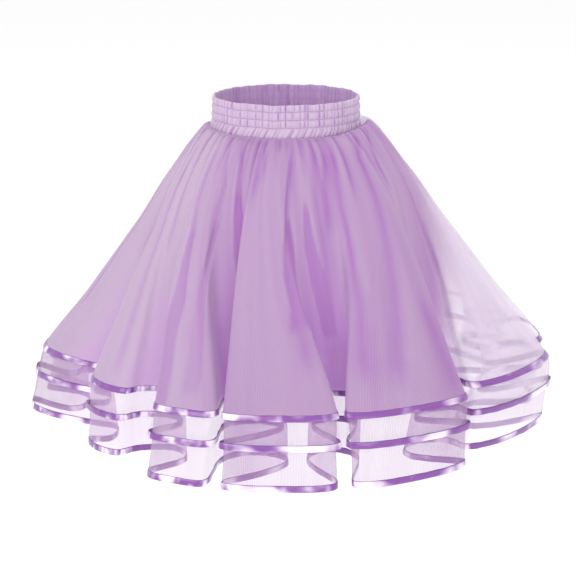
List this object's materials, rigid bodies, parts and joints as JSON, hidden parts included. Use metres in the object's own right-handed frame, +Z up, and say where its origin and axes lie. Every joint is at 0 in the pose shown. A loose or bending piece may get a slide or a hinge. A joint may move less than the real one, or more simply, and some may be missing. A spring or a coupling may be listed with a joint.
{
  "type": "tulle skirt",
  "caption": "Knee-length gathered skirt of three nested tulle layers with satin ribbon hems on a wide elastic waistband, filled out as worn.",
  "frame": {"origin": "the middle of the waistband, half-way up it, where the wearer's waist holds the skirt", "axes": "+Z up out of the waist opening; -Y is the front of the skirt; +X is to the right of someone looking at the front"},
  "size_m": [0.8986, 0.8436, 0.5557],
  "materials": {
    "waistband": "matte gathered jersey",
    "tulle": "sheer net",
    "satin": "glossy satin ribbon"
  },
  "bodies": {
    "root": {"waistband": "waistband", "outer_layer_front": "tulle", "outer_layer_back": "tulle", "middle_layer_front": "tulle", "middle_layer_back": "tulle", "inner_layer_front": "tulle", "inner_layer_back": "tulle", "outer_hem_ribbon": "satin", "middle_hem_ribbon": "satin", "inner_hem_ribbon": "satin"}
  },
  "joints": []
}
